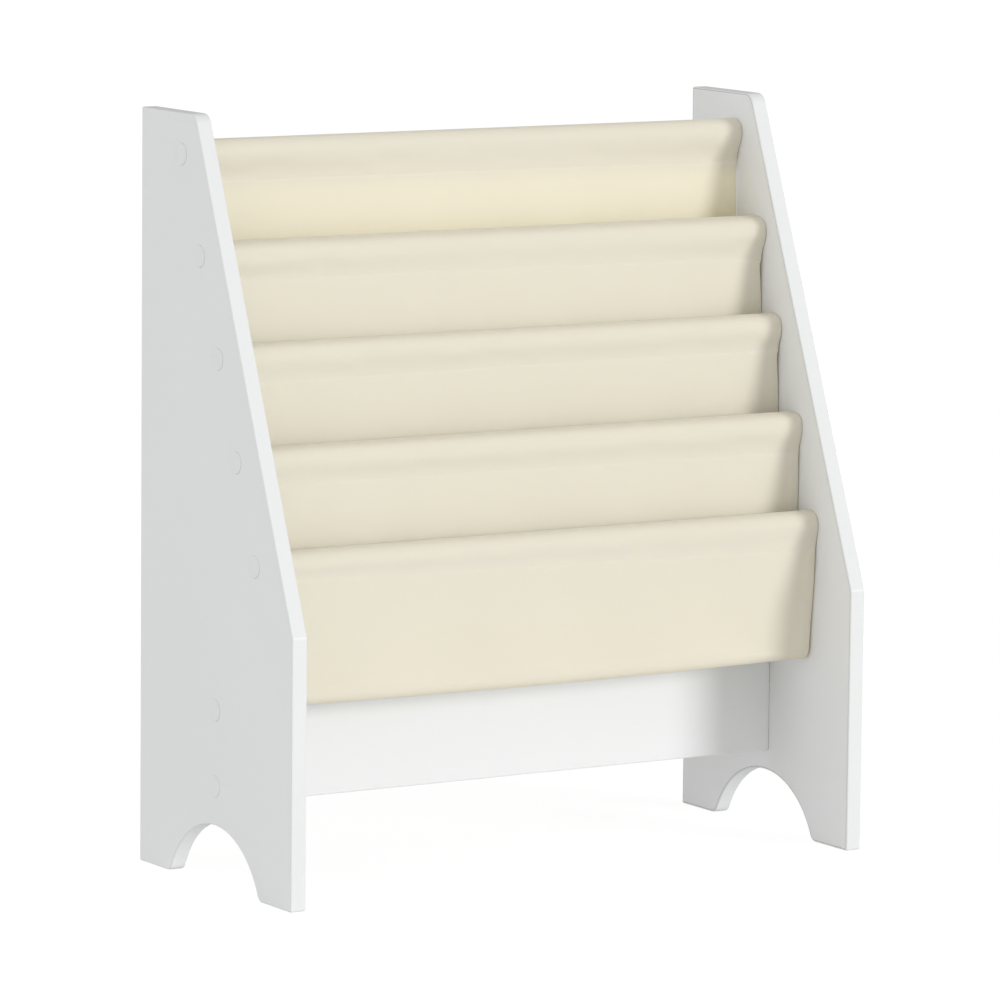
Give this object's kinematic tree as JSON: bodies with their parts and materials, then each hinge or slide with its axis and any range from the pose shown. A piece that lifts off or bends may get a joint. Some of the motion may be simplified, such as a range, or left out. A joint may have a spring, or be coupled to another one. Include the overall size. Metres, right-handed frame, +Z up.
{
  "type": "sling bookshelf",
  "caption": "Children's sling bookshelf: board side panels with arched feet, a low cross board, and round rods carrying a cloth sling that hangs as book pockets.",
  "frame": {"origin": "on the floor, at the centre of the shelf's footprint", "axes": "+Z up, -Y towards the front where the books are put in, +X to the right seen from the front"},
  "size_m": [0.6018, 0.273, 0.68],
  "materials": {
    "board_white": "white satin-matt lacquer over fibreboard",
    "rod_beech": "plain sanded beech",
    "cloth_cream": "plain-woven cream cotton, matt and slightly see-through",
    "screw_zinc": "bright zinc plate",
    "cap_white": "matt moulded white"
  },
  "bodies": {
    "root": {"left_side_panel": "board_white", "right_side_panel": "board_white", "cross_board": "board_white", "rod_1": "rod_beech", "rod_2": "rod_beech", "rod_3": "rod_beech", "rod_4": "rod_beech", "rod_5": "rod_beech", "sleeve_1": "cloth_cream", "sleeve_2": "cloth_cream", "sleeve_3": "cloth_cream", "sleeve_4": "cloth_cream", "sleeve_5": "cloth_cream", "pocket_1": "cloth_cream", "pocket_2": "cloth_cream", "pocket_3": "cloth_cream", "pocket_4": "cloth_cream", "screw_left_rod_1": "screw_zinc", "screw_left_rod_2": "screw_zinc", "screw_left_rod_3": "screw_zinc", "screw_left_rod_4": "screw_zinc", "screw_left_rod_5": "screw_zinc", "screw_left_board_lower": "screw_zinc", "screw_left_board_upper": "screw_zinc", "screw_right_rod_1": "screw_zinc", "screw_right_rod_2": "screw_zinc", "screw_right_rod_3": "screw_zinc", "screw_right_rod_4": "screw_zinc", "screw_right_rod_5": "screw_zinc", "screw_right_board_lower": "screw_zinc", "screw_right_board_upper": "screw_zinc", "cap_left_rod_1": "cap_white", "cap_left_rod_2": "cap_white", "cap_left_rod_3": "cap_white", "cap_left_rod_4": "cap_white", "cap_left_rod_5": "cap_white", "cap_left_board_lower": "cap_white", "cap_left_board_upper": "cap_white", "cap_right_rod_1": "cap_white", "cap_right_rod_2": "cap_white", "cap_right_rod_3": "cap_white", "cap_right_rod_4": "cap_white", "cap_right_rod_5": "cap_white", "cap_right_board_lower": "cap_white", "cap_right_board_upper": "cap_white"}
  },
  "joints": []
}
